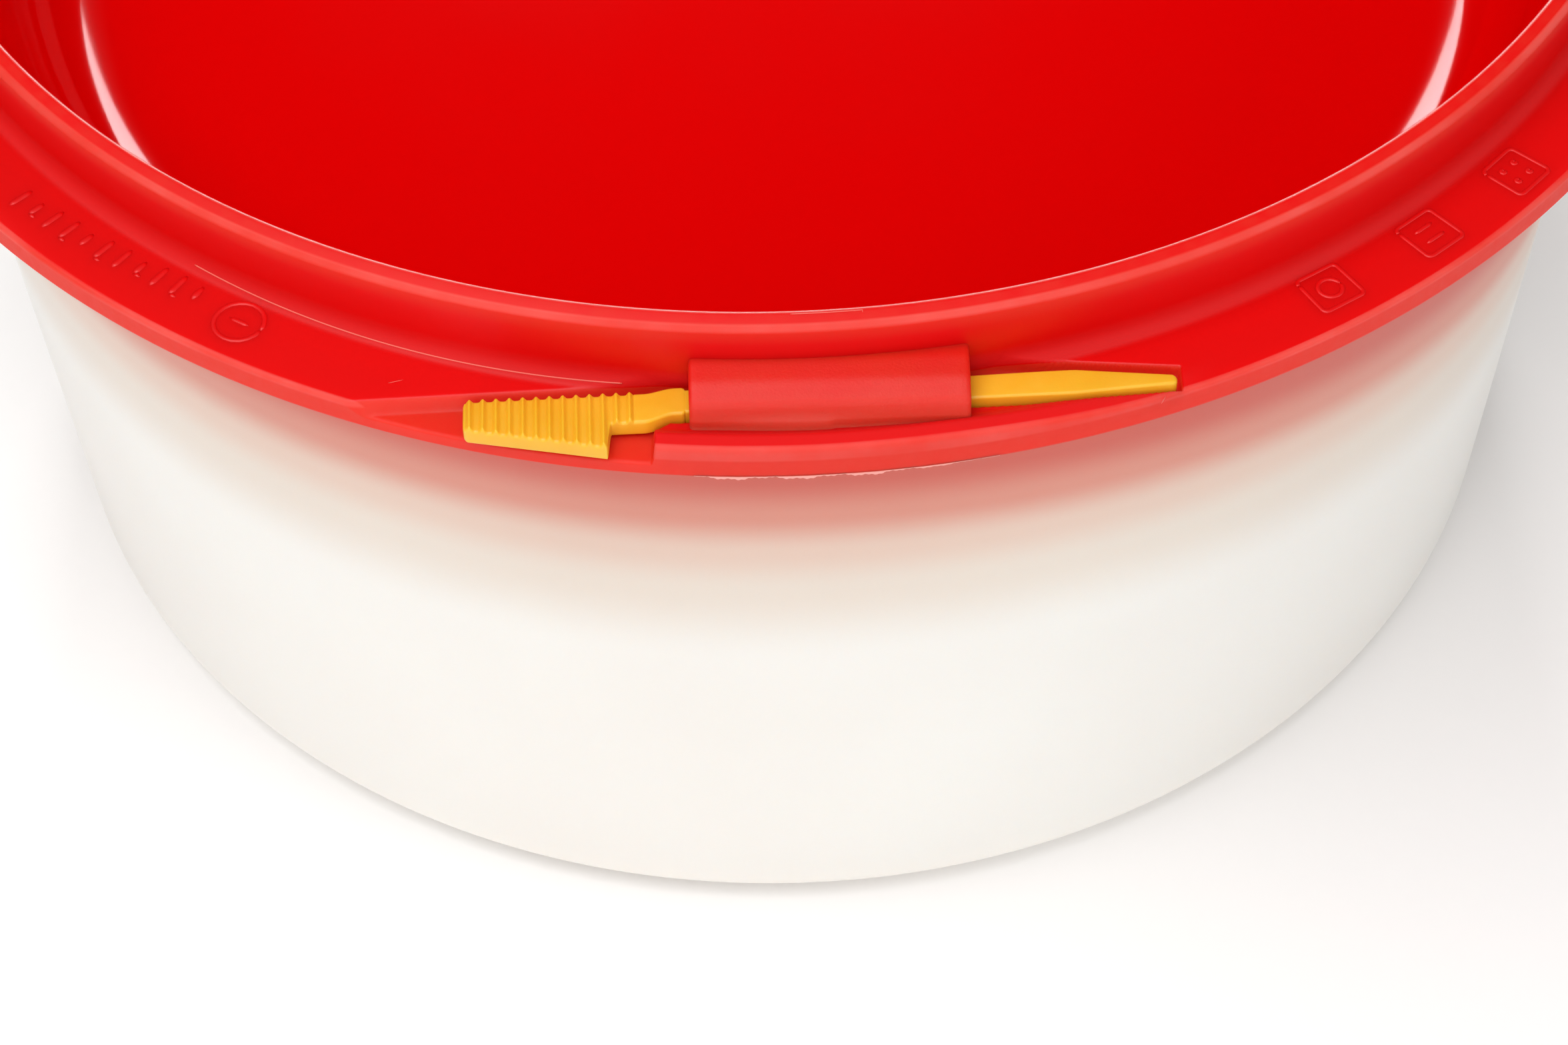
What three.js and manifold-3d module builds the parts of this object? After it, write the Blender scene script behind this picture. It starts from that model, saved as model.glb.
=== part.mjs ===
// A squat lidded pail: a natural-white tub, a red lid with a deep dish and a wide
// flange, a yellow pin that slides through a sleeve on the flange, a sealing ring,
// and a wire bail with a turning grip. Millimetres, +Z up. The origin is the middle
// of the base, and the pin is at the front, on the -Y side.

import * as THREE from 'three';
import { mergeVertices } from 'three/addons/utils/BufferGeometryUtils.js';
import Module from 'manifold-3d';

const wasm = await Module();
wasm.setup();

// ---- Driving dimensions ----

const clearance = 0.3; // gap kept between separate pieces
const wall = 2.0; // general wall thickness

// The lid. Its heights are above the flange's lower edge.
const flangeRadius = 115;
const flangeTop = 2.9;
const rimTop = 12.1; // top of the ridge round the dish
const rimInner = 103.3;
const rimOuter = 105.5;
const dishFloor = -24.6;
const dishFloorRadius = 92.5; // where the dish wall would meet the floor
const dishFillet = 7;
const ringInner = 110.2; // locating ring under the flange
const ringOuter = 112;
const ringDepth = 3;

// The sleeve and the recess for the pin, on the front of the flange.
const sleeveLeft = -9.5;
const sleeveRight = 19.1;
const sleeveTop = 7.3;
const sleeveFront = -110.9;
const recessFloor = 1.5;
const recessLeft = -60; // runs out past the flange's edge
const notchRight = -13;
const tipPocketEnd = 41;
const ledgeTop = 4.1; // crest of the ledge along the edge in front of the sleeve
const ledgeInner = 110.5;
const ledgeFade = 20; // from here the ledge sinks to the flange
const ledgeRight = 46;

// The slide pin, in its own frame: its middle line is X, tilted in plan on the lid.
const pinMiddle = -107.7;
const pinTilt = THREE.MathUtils.degToRad(1.8);
const pinBottom = recessFloor + clearance;
const pinTop = pinBottom + 2;
const bladeBack = 1.85;
const bladeFront = -1.95;
const gripBack = 1.65;
const gripLeft = -32.6;
const gripRight = -17.8;
const gripFrontLeft = -2.3; // the thumb grip widens from its left end to its right
const gripFrontRight = -5.65;
const neckFront = -3.3;
const shoulder = 2.2;
const shoulderFace = sleeveLeft - 0.4;
const tipRight = 40.4;
const gripRibs = 13;
const ribPitch = 1.36;
const ribHeight = 0.45;

// The tub.
const flangeHeight = 100; // base to the flange's lower edge
const baseRadius = 98.3;
const tubTopRadius = 104.2; // outside of the wall under the rim
const tubWall = 1.8;
const rimBead = 109.6;
const sealThickness = 1.4;
const tubTop = flangeHeight - sealThickness - 2 * clearance;

// The bail.
const pivotHeight = 86;
const wireRadius = 2;
const bailHalfWidth = 119.5;
const bailReach = 127;
const gripLength = 88;
const gripRadius = 7.5;
const earFace = 113.8;
const bailRest = THREE.MathUtils.degToRad(32.3); // below level, where the grip meets the tub

// ---- Shape tools ----

// Leaves one closed, outward-facing triangle mesh that holds positions only.
function cleaned(source) {
  const bare = source.clone();
  bare.deleteAttribute('normal');
  bare.deleteAttribute('uv');
  const merged = mergeVertices(bare, 1e-4);
  const position = merged.getAttribute('position');
  const [a, b, c] = [new THREE.Vector3(), new THREE.Vector3(), new THREE.Vector3()];
  const kept = [];
  let volume = 0;
  for (let i = 0; i < merged.index.count; i += 3) {
    const [p, q, r] = [0, 1, 2].map((k) => merged.index.getX(i + k));
    if (p === q || q === r || r === p) continue;
    kept.push([p, q, r]);
    a.fromBufferAttribute(position, p);
    b.fromBufferAttribute(position, q);
    c.fromBufferAttribute(position, r);
    volume += a.dot(b.cross(c));
  }
  const outward = volume > 0 ? kept : kept.map(([p, q, r]) => [p, r, q]);
  merged.setIndex(outward.flat());
  return merged;
}

function toSolid(geometry) {
  const mesh = cleaned(geometry);
  return new wasm.Manifold(new wasm.Mesh({
    numProp: 3,
    vertProperties: new Float32Array(mesh.getAttribute('position').array),
    triVerts: new Uint32Array(mesh.index.array),
  }));
}

function toGeometry(solid) {
  const mesh = solid.getMesh();
  const geometry = new THREE.BufferGeometry();
  geometry.setAttribute('position', new THREE.BufferAttribute(mesh.vertProperties, 3));
  geometry.setIndex(new THREE.BufferAttribute(mesh.triVerts, 1));
  return geometry;
}

// Turns a profile of [radius, height] points about the Z axis.
function revolve(profile, segments) {
  const points = profile.map(([r, z]) => new THREE.Vector2(r, z));
  return cleaned(new THREE.LatheGeometry(points, segments).rotateX(Math.PI / 2));
}

// A profile that doesn't touch the axis closes on itself.
function revolveRing(profile, segments) {
  return revolve([...profile, profile[0]], segments);
}

// Raises a plan outline of [x, y] points from one height to another.
function raise(outline, bottom, top) {
  const shape = new THREE.Shape(outline.map(([x, y]) => new THREE.Vector2(x, y)));
  const block = new THREE.ExtrudeGeometry(shape, { depth: top - bottom, bevelEnabled: false });
  return block.translate(0, 0, bottom);
}

// Draws out a section of [y, z] points along X.
function drawOut(section, left, right) {
  const shape = new THREE.Shape(section.map(([y, z]) => new THREE.Vector2(y, z)));
  const bar = new THREE.ExtrudeGeometry(shape, { depth: right - left, bevelEnabled: false });
  const turn = new THREE.Matrix4().makeBasis(
    new THREE.Vector3(0, 1, 0),
    new THREE.Vector3(0, 0, 1),
    new THREE.Vector3(1, 0, 0),
  );
  return bar.applyMatrix4(turn).translate(left, 0, 0);
}

function arc(centre, radius, from, to, steps) {
  return Array.from({ length: steps + 1 }, (_, i) => {
    const angle = THREE.MathUtils.degToRad(from + ((to - from) * i) / steps);
    return [centre[0] + radius * Math.cos(angle), centre[1] + radius * Math.sin(angle)];
  });
}

function plastic(name, geometry, color, roughness, metalness = 0) {
  const mesh = new THREE.Mesh(
    geometry,
    new THREE.MeshStandardMaterial({ color, roughness, metalness }),
  );
  mesh.name = name;
  return mesh;
}

// ---- The tub ----

function tubShell() {
  const top = tubTop;
  const beadBottom = top - 4;
  return revolve([
    [0, 1.2], [88, 1.2], [89.2, 0], [93.5, 0], [96.6, 1.2], [baseRadius, 5],
    [tubTopRadius, beadBottom - 1], [tubTopRadius + 1, beadBottom],
    [rimBead - 0.6, beadBottom], [rimBead, beadBottom + 0.6],
    [rimBead, top - 0.7], [rimBead - 0.7, top], [103.2, top],
    [tubTopRadius - tubWall, top - 0.8], [tubTopRadius - tubWall, beadBottom - 1],
    [baseRadius - tubWall, 6.5], [95.2, 4], [92, 3.2], [0, 3.2],
  ], 96);
}

// A boss under the rim on each side, with a blind socket for the end of the wire.
function withEar(tub, side) {
  const radius = 8;
  const outline = [
    [radius, tubTop - 3], [-radius, tubTop - 3],
    ...arc([0, pivotHeight], radius, 180, 360, 10),
  ];
  const inner = tubTopRadius - tubWall + 0.5;
  const boss = drawOut(outline, inner, earFace);
  const socket = new THREE.CylinderGeometry(wireRadius + clearance, wireRadius + clearance, 12, 16);
  socket.rotateZ(Math.PI / 2).translate(earFace - 2, 0, pivotHeight);
  const turn = side > 0 ? 0 : Math.PI;
  const ear = toSolid(boss.rotateZ(turn));
  return tub.add(ear).subtract(toSolid(socket.rotateZ(turn)));
}

function makeTub() {
  const tub = [1, -1].reduce(withEar, toSolid(tubShell()));
  return plastic('bucket_body', toGeometry(tub), 0xefe9e0, 0.42);
}

// ---- The lid ----

function dishProfile() {
  const wallFoot = new THREE.Vector2(dishFloorRadius, dishFloor);
  const wallHead = new THREE.Vector2(rimInner, rimTop - 0.5);
  const along = wallHead.clone().sub(wallFoot).normalize();
  const lean = Math.atan2(along.x, along.y);
  const reach = dishFillet * Math.tan((Math.PI / 2 - lean) / 2);
  const degrees = THREE.MathUtils.radToDeg(lean);
  const centre = [dishFloorRadius - reach, dishFloor + dishFillet];
  const inside = arc(centre, dishFillet, -90, -degrees, 4);
  const outside = arc(centre, dishFillet + wall, -degrees, -90, 4);
  return { inside, outside };
}

function lidShell() {
  const { inside, outside } = dishProfile();
  return revolve([
    [0, dishFloor], ...inside,
    [rimInner, rimTop - 0.5], [rimInner + 0.5, rimTop],
    [rimOuter - 0.8, rimTop], [rimOuter - 0.1, rimTop - 0.7],
    [rimOuter, 5], [rimOuter + 0.4, 3.5], [rimOuter + 1.1, flangeTop],
    [flangeRadius - 0.7, flangeTop], [flangeRadius, flangeTop - 0.7], [flangeRadius, 0],
    [ringOuter, 0], [ringOuter, -ringDepth], [ringInner, -ringDepth], [ringInner, 0],
    [101.4, 0], ...outside, [0, dishFloor - wall],
  ], 96);
}

// The bridge that the pin slides under, rounded over on its front.
function sleeveBlock() {
  const back = 2 - rimOuter;
  return toSolid(drawOut([
    [back, 1], [back, sleeveTop - 0.3], [-105.6, sleeveTop], [-108.2, sleeveTop - 0.4],
    [-110, sleeveTop - 1.6], [sleeveFront + 0.1, sleeveTop - 3.1], [sleeveFront, 1],
  ], sleeveLeft, sleeveRight));
}

// A ledge along the flange's edge, from the notch past the sleeve, that sinks away on the right.
function ledge() {
  const edge = flangeRadius - 0.05;
  const ring = revolveRing([
    [ledgeInner, 1], [edge, 1], [edge, ledgeTop - 0.6], [edge - 0.5, ledgeTop],
    [edge - 1.2, ledgeTop - 0.1], [ledgeInner, flangeTop - 0.2],
  ], 96);
  const side = [
    [notchRight, 0], [ledgeRight, 0], [ledgeRight, flangeTop - 0.1],
    [ledgeFade, ledgeTop + 0.1], [notchRight, ledgeTop + 0.1],
  ];
  const shape = new THREE.Shape(side.map(([x, z]) => new THREE.Vector2(x, z)));
  const stretch = new THREE.ExtrudeGeometry(shape, { depth: 30, bevelEnabled: false });
  stretch.rotateX(Math.PI / 2).translate(0, -100, 0);
  return toSolid(ring).intersect(toSolid(stretch));
}

// Moves a shape from the pin's own frame to its place on the lid.
function inPinFrame(geometry) {
  return geometry.rotateZ(pinTilt).translate(0, pinMiddle, 0);
}

// The stepped pocket for the grip, the tunnel for the blade and the pocket for the tip.
function pinPockets() {
  const top = rimTop;
  const gripPocket = toSolid(raise([
    [recessLeft, -106.3], [notchRight, -104.36],
    [notchRight, -125], [recessLeft, -125],
  ], recessFloor, top));
  const neckPocket = toSolid(raise([
    [notchRight - 0.2, -104.3], [sleeveLeft, -104.3],
    [sleeveLeft, -111.8], [notchRight - 0.2, -111.8],
  ], recessFloor, top));
  const tunnel = toSolid(inPinFrame(raise([
    [sleeveLeft - 0.4, bladeBack + clearance], [sleeveRight + 0.4, bladeBack + clearance],
    [sleeveRight + 0.4, bladeFront - clearance], [sleeveLeft - 0.4, bladeFront - clearance],
  ], recessFloor, pinTop + clearance)));
  const tipPocket = toSolid(raise([
    [sleeveRight, -103], [29.3, -102.7], [tipPocketEnd, -103.8],
    [tipPocketEnd, -107.4], [30.5, -109.2], [sleeveRight, -109.5],
  ], recessFloor, top));
  const ridge = toSolid(revolve([[0, -30], [rimOuter + 0.1, -30], [rimOuter + 0.1, 30], [0, 30]], 96));
  const besideRidge = gripPocket.add(neckPocket).add(tipPocket).subtract(ridge);
  return besideRidge.add(tunnel);
}

function makeLid() {
  const lid = toSolid(lidShell())
    .add(sleeveBlock())
    .add(ledge())
    .subtract(pinPockets());
  return plastic('lid', toGeometry(lid), 0xe30d0a, 0.28);
}

// ---- The pin ----

function pinOutline() {
  return [
    [gripLeft, gripBack], [gripLeft, gripFrontLeft], [gripRight, gripFrontRight],
    [gripRight, neckFront], [notchRight - 0.9, neckFront], [notchRight + 0.8, -2.9],
    [notchRight + 2, -shoulder], [shoulderFace, -shoulder], [shoulderFace, bladeFront],
    [30.4, bladeFront + 0.1], [tipRight, -0.5], [tipRight, 0.7], [30.4, bladeBack],
    [shoulderFace, bladeBack], [shoulderFace, shoulder], [notchRight + 2, shoulder],
    [notchRight - 0.9, gripBack],
  ];
}

// One cross-ridge of the thumb grip, from the back edge to the slanted front edge.
function gripRib(index) {
  const middle = gripLeft + 0.7 + index * ribPitch;
  const along = (middle - gripLeft) / (gripRight - gripLeft);
  const slantFront = gripFrontLeft + (gripFrontRight - gripFrontLeft) * along;
  const front = (along < 0.97 ? slantFront : neckFront) + 0.4;
  const section = [
    [middle - 0.34, pinTop - 0.2], [middle + 0.34, pinTop - 0.2],
    [middle + 0.14, pinTop + ribHeight], [middle - 0.14, pinTop + ribHeight],
  ];
  const shape = new THREE.Shape(section.map(([x, z]) => new THREE.Vector2(x, z)));
  const back = gripBack - 0.05;
  const bar = new THREE.ExtrudeGeometry(shape, { depth: back - front, bevelEnabled: false });
  return bar.rotateX(Math.PI / 2).translate(0, back, 0);
}

function makePin() {
  let pin = toSolid(raise(pinOutline(), pinBottom, pinTop));
  for (let index = 0; index < gripRibs; index += 1) {
    pin = pin.add(toSolid(gripRib(index)));
  }
  const mesh = plastic('slide_pin', toGeometry(pin), 0xf2ac24, 0.4);
  mesh.position.y = pinMiddle;
  mesh.rotation.z = pinTilt;
  return mesh;
}

// ---- The sealing ring ----

function makeSeal() {
  const top = -clearance;
  const bottom = top - sealThickness;
  const ring = revolveRing([[103.6, bottom], [107.6, bottom], [107.6, top], [103.6, top]], 96);
  return plastic('lid_gasket', ring, 0xd9d6cf, 0.7);
}

// ---- The bail ----

// The wire's middle line in the bail's own plane, right half, from socket to grip.
function halfWire() {
  const bend = 4;
  const straightEnd = gripLength / 2 + 3;
  const corner = arc([bailHalfWidth - bend, bend], bend, -90, 0, 5);
  const rise = bailReach - bend - 1;
  const bow = Array.from({ length: 14 }, (_, i) => {
    const angle = ((i + 1) / 14) * (Math.PI / 2);
    const across = straightEnd + (bailHalfWidth - straightEnd) * Math.cos(angle);
    return [across, bend + 1 + rise * Math.sin(angle)];
  });
  return [[earFace - 7.4, 0], ...corner, [bailHalfWidth, bend + 1], ...bow];
}

// A path that passes through each given point at an even parameter step.
class PointPath extends THREE.Curve {
  constructor(points) {
    super();
    this.points = points;
  }

  getPoint(t) {
    const place = t * (this.points.length - 1);
    const index = Math.min(Math.max(Math.floor(place), 0), this.points.length - 2);
    return this.points[index].clone().lerp(this.points[index + 1], place - index);
  }

  getUtoTmapping(u) {
    return u;
  }
}

function makeWire() {
  const right = halfWire();
  const left = right.map(([x, y]) => [-x, y]).reverse();
  const points = [...right, ...left].map(([x, y]) => new THREE.Vector3(x, y, 0));
  const round = new THREE.Shape(arc([0, 0], wireRadius, 0, 315, 7).map(([x, y]) => new THREE.Vector2(x, y)));
  const wire = new THREE.ExtrudeGeometry(round, {
    steps: points.length - 1,
    extrudePath: new PointPath(points),
  });
  return plastic('wire_bail', cleaned(wire), 0xb9bcbe, 0.35, 0.9);
}

function makeGrip() {
  const ribs = 8;
  const pitch = (gripLength - 12) / ribs;
  const ridges = Array.from({ length: ribs }, (_, i) => {
    const start = -gripLength / 2 + 6 + (i + 0.25) * pitch;
    return [
      [gripRadius - 1.2, start - 1], [gripRadius, start],
      [gripRadius, start + pitch / 2], [gripRadius - 1.2, start + pitch / 2 + 1],
    ];
  }).flat();
  const end = gripLength / 2;
  const bore = wireRadius + 2 * clearance;
  const tube = revolveRing([
    [bore, -end], [gripRadius - 1.5, -end], [gripRadius - 1, -end + 0.8],
    ...ridges,
    [gripRadius - 1, end - 0.8], [gripRadius - 1.5, end], [bore, end],
  ], 20);
  const grip = plastic('handle_grip', tube.rotateY(Math.PI / 2), 0xf2ac24, 0.45);
  grip.position.y = bailReach;
  return grip;
}

// ---- Assembly ----

const lidGroup = new THREE.Group();
lidGroup.position.z = flangeHeight;
lidGroup.add(makeLid(), makeSeal(), makePin());

const bailGroup = new THREE.Group();
bailGroup.position.z = pivotHeight;
bailGroup.rotation.x = -bailRest;
bailGroup.add(makeWire(), makeGrip());

const pail = new THREE.Group();
pail.add(makeTub(), lidGroup, bailGroup);

export default pail;
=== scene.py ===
"""Looks of the lidded sand bucket: a white tub, a red dished lid, a yellow slide pin and a wire bail.

Lengths are millimetres until mesh_piece() turns them into metres. Heights on the lid count from the
flange's lower edge, and LID_Z lifts them to their place.
"""
import math

import bpy
import numpy as np
from mathutils import Matrix, Vector


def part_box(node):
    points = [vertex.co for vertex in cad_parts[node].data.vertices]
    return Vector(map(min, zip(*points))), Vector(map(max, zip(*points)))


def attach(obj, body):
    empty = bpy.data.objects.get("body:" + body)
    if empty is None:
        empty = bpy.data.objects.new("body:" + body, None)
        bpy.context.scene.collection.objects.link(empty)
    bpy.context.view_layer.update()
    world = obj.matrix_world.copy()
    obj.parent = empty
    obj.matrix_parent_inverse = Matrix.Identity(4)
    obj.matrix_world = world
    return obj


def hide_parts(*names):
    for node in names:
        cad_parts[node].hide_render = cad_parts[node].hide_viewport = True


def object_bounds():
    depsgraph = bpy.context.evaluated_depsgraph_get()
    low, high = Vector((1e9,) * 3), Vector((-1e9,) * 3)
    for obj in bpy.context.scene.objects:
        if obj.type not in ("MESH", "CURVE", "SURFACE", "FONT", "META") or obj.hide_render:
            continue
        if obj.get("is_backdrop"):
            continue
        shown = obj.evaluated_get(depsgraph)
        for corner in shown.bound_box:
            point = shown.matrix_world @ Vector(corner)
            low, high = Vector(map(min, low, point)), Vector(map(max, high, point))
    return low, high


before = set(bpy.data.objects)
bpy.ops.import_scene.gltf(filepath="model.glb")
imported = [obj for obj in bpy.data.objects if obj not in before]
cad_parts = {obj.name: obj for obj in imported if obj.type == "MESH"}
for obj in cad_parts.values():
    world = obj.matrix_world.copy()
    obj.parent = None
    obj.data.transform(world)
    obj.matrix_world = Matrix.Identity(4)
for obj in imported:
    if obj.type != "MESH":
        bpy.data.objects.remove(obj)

CAD_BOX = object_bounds()
MM = 0.001


def node_box(name):
    """Lowest and highest corners of a CAD node, in millimetres."""
    low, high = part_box(name)
    return np.array(low) / MM, np.array(high) / MM


# ---- Sizes, from the frame and a few driving dimensions ----

LID_LOW, LID_HIGH = node_box("lid")
_, TUB_HIGH = node_box("bucket_body")
PIN_LOW, _ = node_box("slide_pin")
SEAL_LOW, SEAL_HIGH = node_box("lid_gasket")
_, WIRE_HIGH = node_box("wire_bail")
GRIP_LOW, GRIP_HIGH = node_box("handle_grip")

FLANGE_R = (LID_HIGH[0] - LID_LOW[0]) / 2
RIM_TOP = 12.1
LID_Z = LID_HIGH[2] - RIM_TOP
FLANGE_TOP = 2.9
RIM_INNER = 103.3
RIM_OUTER = 105.5
DISH_WALL = 2.0
DISH_FLOOR = LID_LOW[2] - LID_Z + DISH_WALL
DISH_FLOOR_R = 92.5
DISH_FILLET = 12.0
RING_INNER = 110.2
RING_OUTER = 112.0
RING_DEPTH = 3.0
POCKET_FLOOR = 1.5
SLEEVE_LEFT, SLEEVE_RIGHT = -9.5, 19.1
SLEEVE_TOP = 7.3
SLEEVE_FRONT = -110.9
NOTCH_X = -13.0
TIP_POCKET_END = 41.0
LEDGE_TOP = 4.1
LEDGE_INNER = 111.3
LEDGE_CREST = 113.2
LEDGE_FADE = 14.0
LEDGE_RIGHT = 46.0

PIN_BOTTOM = PIN_LOW[2] - LID_Z
PIN_TOP = PIN_BOTTOM + 2.0
PIN_MIDDLE = -107.7
PIN_TILT = math.radians(1.8)
BLADE_BACK, BLADE_FRONT = 1.85, -1.25
GRIP_LEFT, GRIP_RIGHT = -32.6, -17.8
GRIP_BACK = 1.65
GRIP_FRONT_LEFT, GRIP_FRONT_RIGHT = -2.3, -5.65
NECK_FRONT = -2.35
SHOULDER_BACK, SHOULDER_FRONT = 2.25, -1.45
SHOULDER_FACE = SLEEVE_LEFT - 0.4
TIP_RIGHT = 40.4
RIB_HEIGHT = 0.42
RIB_PITCH = 1.36
RIB_COUNT = 13
RIB_FIRST = GRIP_LEFT + 0.7

TUB_TOP = TUB_HIGH[2]
BEAD_DEPTH = 4.0
WALL_FOOT_R, WALL_FOOT_Z = 98.3, 4.0
WALL_TOP_R = 104.2
# How far the painted shade under the flange rises toward +X, away from the light.
PAINTED_SHADE_DRIFT = 1.6
PIVOT_Z = 86.0
EAR_FACE = TUB_HIGH[0]
WIRE_R = 2.0
BAIL_HALF = WIRE_HIGH[0] - WIRE_R
GRIP_CENTRE = (GRIP_LOW + GRIP_HIGH) / 2
GRIP_R = (GRIP_HIGH[1] - GRIP_LOW[1]) / 2
GRIP_LENGTH = GRIP_HIGH[0] - GRIP_LOW[0]
BAIL_REACH = math.hypot(GRIP_CENTRE[1], PIVOT_Z - GRIP_CENTRE[2])
BAIL_REST = math.atan2(PIVOT_Z - GRIP_CENTRE[2], GRIP_CENTRE[1])


# ---- Outlines ----

def rounded(corners, closed=False, step=7.5):
    """A path through (x, y, radius) corners, each rounded by an arc with a point every `step` degrees."""
    count = len(corners)
    path = []
    for index, (x, y, radius) in enumerate(corners):
        here = np.array([x, y], float)
        at_end = not closed and index in (0, count - 1)
        if radius <= 0 or at_end:
            path.append(here)
            continue
        before = np.array(corners[index - 1][:2], float) - here
        after = np.array(corners[(index + 1) % count][:2], float) - here
        before /= np.linalg.norm(before)
        after /= np.linalg.norm(after)
        half = math.acos(np.clip(before @ after, -1, 1)) / 2
        middle = before + after
        centre = here + middle / np.linalg.norm(middle) * radius / math.sin(half)
        start = here + before * radius / math.tan(half) - centre
        end = here + after * radius / math.tan(half) - centre
        turn = math.pi - 2 * half
        side = math.copysign(1.0, start[0] * end[1] - start[1] * end[0])
        pieces = max(2, math.ceil(math.degrees(turn) / step))
        for angle in np.linspace(0, turn * side, pieces + 1):
            cos, sin = math.cos(angle), math.sin(angle)
            spoke = np.array([start[0] * cos - start[1] * sin, start[0] * sin + start[1] * cos])
            path.append(centre + spoke)
    return np.array(path)


def divided(path, longest, closed=False):
    """The same path with no stretch longer than `longest`."""
    ends = np.roll(path, -1, axis=0) if closed else path[1:]
    out = []
    for start, end in zip(path, ends):
        pieces = max(1, math.ceil(np.linalg.norm(end - start) / longest))
        out.extend(start + (end - start) * k / pieces for k in range(pieces))
    if not closed:
        out.append(path[-1])
    return np.array(out)


def smooth_step(value):
    t = np.clip(value, 0, 1)
    return t * t * (3 - 2 * t)


def outline_distance(x, y, outline):
    """Distance to a closed plan outline, negative inside it."""
    nearest = np.full(x.shape, np.inf)
    inside = np.zeros(x.shape, bool)
    for (ax, ay), (bx, by) in zip(outline, outline[1:] + outline[:1]):
        ex, ey = bx - ax, by - ay
        along = np.clip(((x - ax) * ex + (y - ay) * ey) / (ex * ex + ey * ey), 0, 1)
        nearest = np.minimum(nearest, np.hypot(x - ax - along * ex, y - ay - along * ey))
        crosses = (ay > y) != (by > y)
        reach = ax + ex * (y - ay) / np.where(ey == 0, 1e-9, ey)
        inside ^= crosses & (x < reach)
    return np.where(inside, -nearest, nearest)


# ---- Meshes ----

def mesh_piece(name, points, faces, material):
    """A smooth-shaded object from points in millimetres."""
    mesh = bpy.data.meshes.new(name)
    mesh.from_pydata((np.asarray(points) * MM).tolist(), [], [list(map(int, f)) for f in faces])
    mesh.polygons.foreach_set("use_smooth", [True] * len(mesh.polygons))
    mesh.materials.append(material)
    mesh.validate()
    piece = bpy.data.objects.new(name, mesh)
    bpy.context.scene.collection.objects.link(piece)
    return piece


def joined(parts):
    """Points and faces of several closed shells as one mesh."""
    points, faces, offset = [], [], 0
    for part_points, part_faces in parts:
        points.append(np.asarray(part_points))
        faces.extend([[i + offset for i in face] for face in part_faces])
        offset += len(part_points)
    return np.concatenate(points), faces


def skin(rings, caps=True):
    """A closed shell over rings of points; each ring closes on itself, and the ends get caps."""
    rings = np.asarray(rings, float)
    count, size = rings.shape[:2]
    points = rings.reshape(-1, 3)
    faces = []
    for row in range(count - 1):
        base = row * size
        for k in range(size):
            nxt = (k + 1) % size
            faces.append([base + k, base + nxt, base + size + nxt, base + size + k])
    if caps:
        first, last = rings[0].mean(0), rings[-1].mean(0)
        points = np.concatenate([points, [first, last]])
        end = (count - 1) * size
        for k in range(size):
            nxt = (k + 1) % size
            faces.append([count * size, nxt, k])
            faces.append([count * size + 1, end + k, end + nxt])
    return points, faces


def wheel(profile, angles):
    """Points of a profile turned about Z, as an array (angle, profile point, xyz)."""
    radius, height = profile[:, 0], profile[:, 1]
    turned = np.zeros((len(angles), len(profile), 3))
    turned[..., 0] = np.cos(angles)[:, None] * radius
    turned[..., 1] = np.sin(angles)[:, None] * radius
    turned[..., 2] = height
    return turned


def turned_shell(grid, on_axis):
    """Faces of a turned grid. A profile from axis to axis shares one point at each end."""
    turns, size = grid.shape[:2]
    if not on_axis:
        points = grid.reshape(-1, 3)
        faces = []
        for row in range(turns):
            a, b = row * size, (row + 1) % turns * size
            faces.extend([a + k, b + k, b + (k + 1) % size, a + (k + 1) % size] for k in range(size))
        return points, faces
    inner = grid[:, 1:-1]
    width = size - 2
    points = np.concatenate([inner.reshape(-1, 3), [grid[0, 0], grid[0, -1]]])
    start, end = turns * width, turns * width + 1
    faces = []
    for row in range(turns):
        a, b = row * width, (row + 1) % turns * width
        faces.append([start, b, a])
        faces.extend([a + k, b + k, b + k + 1, a + k + 1] for k in range(width - 1))
        faces.append([end, a + width - 1, b + width - 1])
    return points, faces


def outward(points, faces):
    """The same shell with its faces turned outward."""
    points = np.asarray(points)
    volume = 0.0
    for face in faces:
        a = points[face[0]]
        for k in range(1, len(face) - 1):
            volume += a @ np.cross(points[face[k]], points[face[k + 1]])
    if volume < 0:
        faces = [face[::-1] for face in faces]
    return points, faces


# ---- Materials ----

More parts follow.
